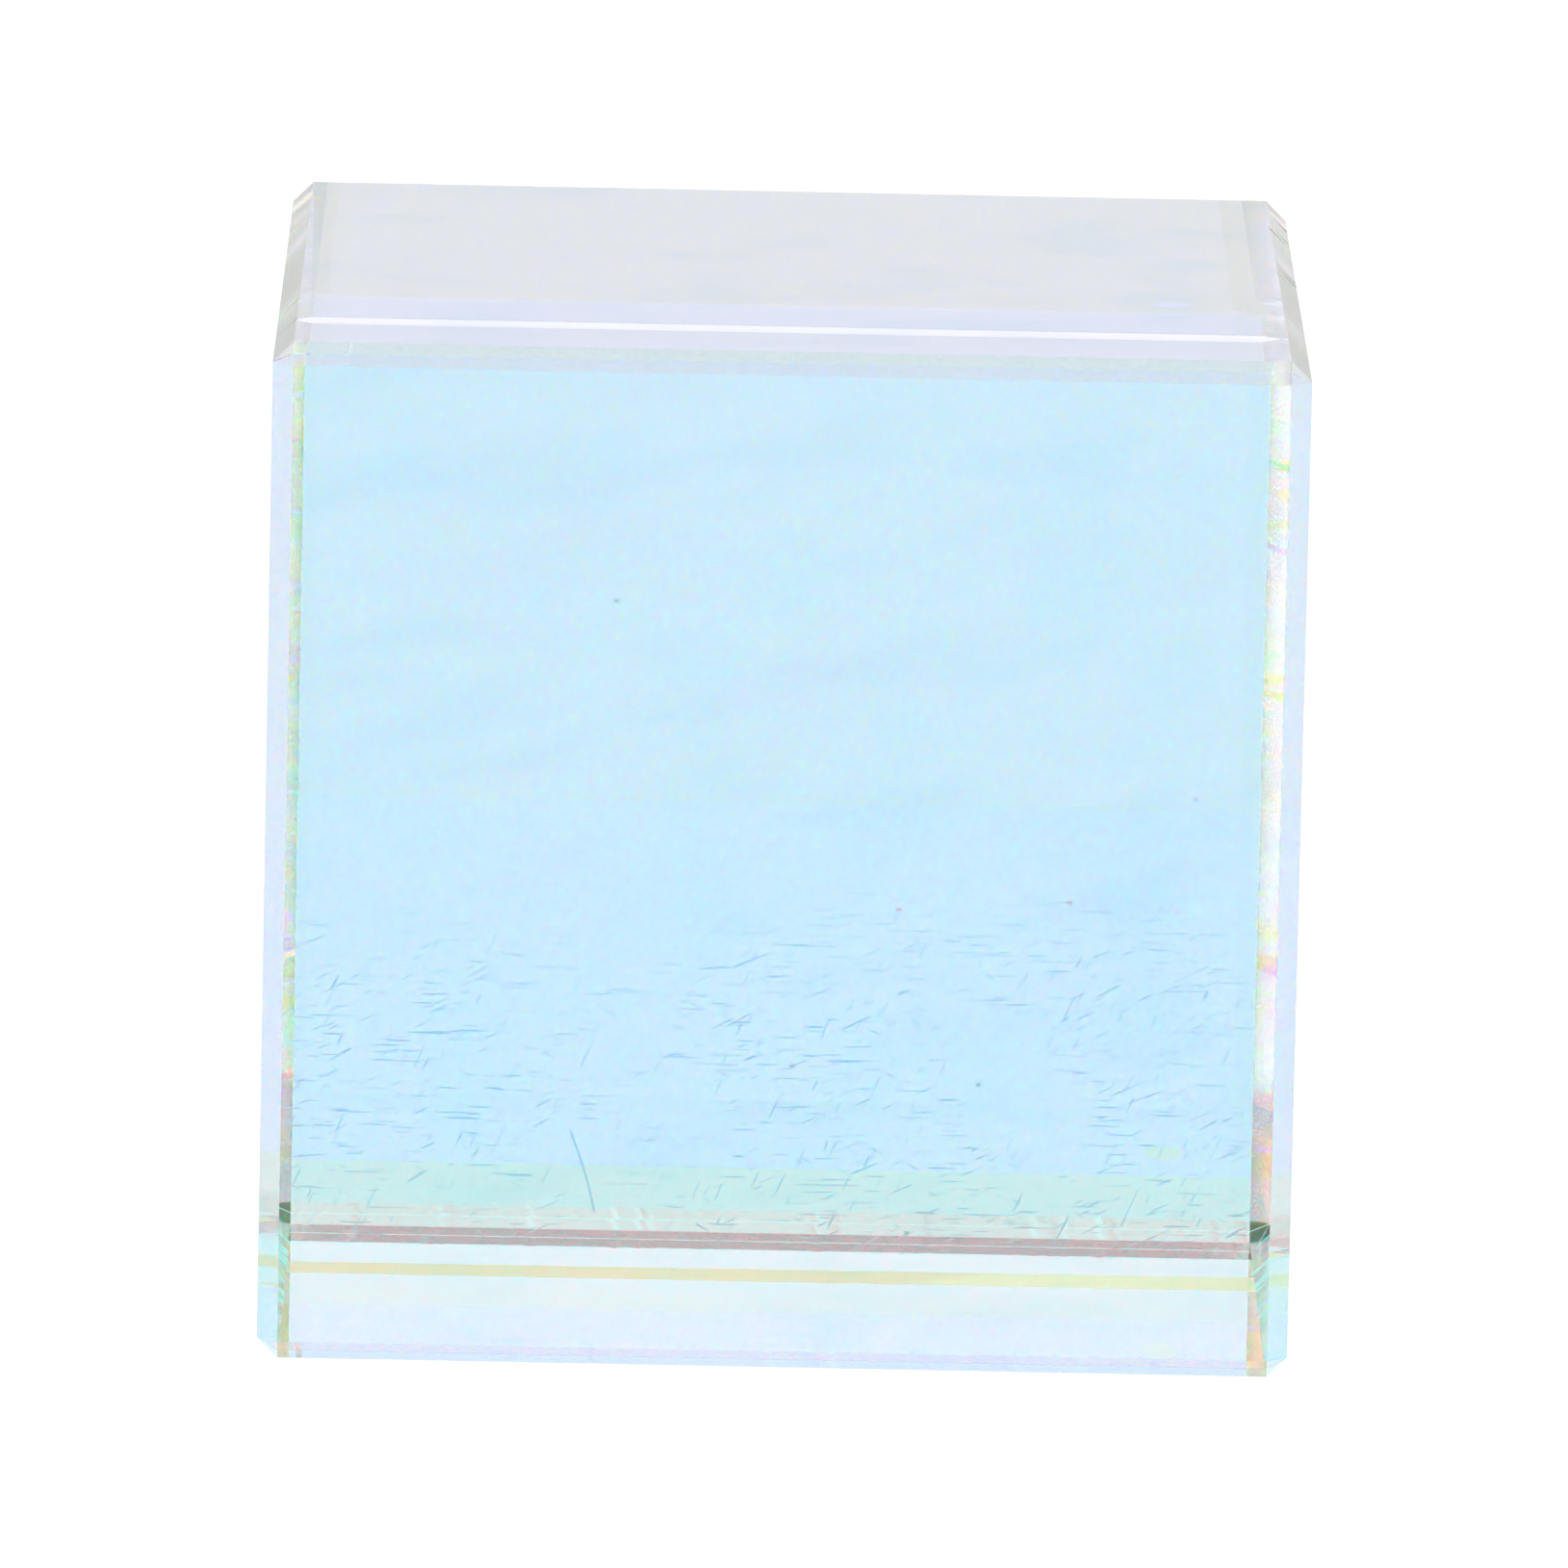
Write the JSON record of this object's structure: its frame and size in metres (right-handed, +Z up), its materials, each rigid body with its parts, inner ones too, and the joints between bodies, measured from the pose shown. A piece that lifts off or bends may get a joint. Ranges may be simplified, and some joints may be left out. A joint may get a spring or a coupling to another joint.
{
  "type": "cross dichroic prism",
  "caption": "Clear glass cube cemented from four right-angle prisms, with crossed red and blue reflecting films on its diagonals and a ground bevel on every edge.",
  "frame": {"origin": "middle of the base, on the surface that the cube stands on", "axes": "+Z up, -Y is the front window, and X runs along the line where the four prisms meet; the blue reflecting diagonal runs from the front top edge to the rear bottom edge"},
  "size_m": [0.02, 0.02, 0.02],
  "materials": {
    "optical_glass": "polished windows, finely ground bevels",
    "blue_reflecting_film": "multilayer film that reflects blue and passes green and red",
    "red_reflecting_film": "multilayer film that reflects red and passes green and blue",
    "optical_cement": "clear"
  },
  "bodies": {
    "root": {"front_prism": "optical_glass", "top_prism": "optical_glass", "back_prism": "optical_glass", "bottom_prism": "optical_glass", "blue_film_upper": "blue_reflecting_film", "blue_film_lower": "blue_reflecting_film", "red_film_rear": "red_reflecting_film", "red_film_front": "red_reflecting_film", "cement_top_to_front": "optical_cement", "cement_bottom_to_back": "optical_cement", "cement_between_halves": "optical_cement"}
  },
  "joints": []
}
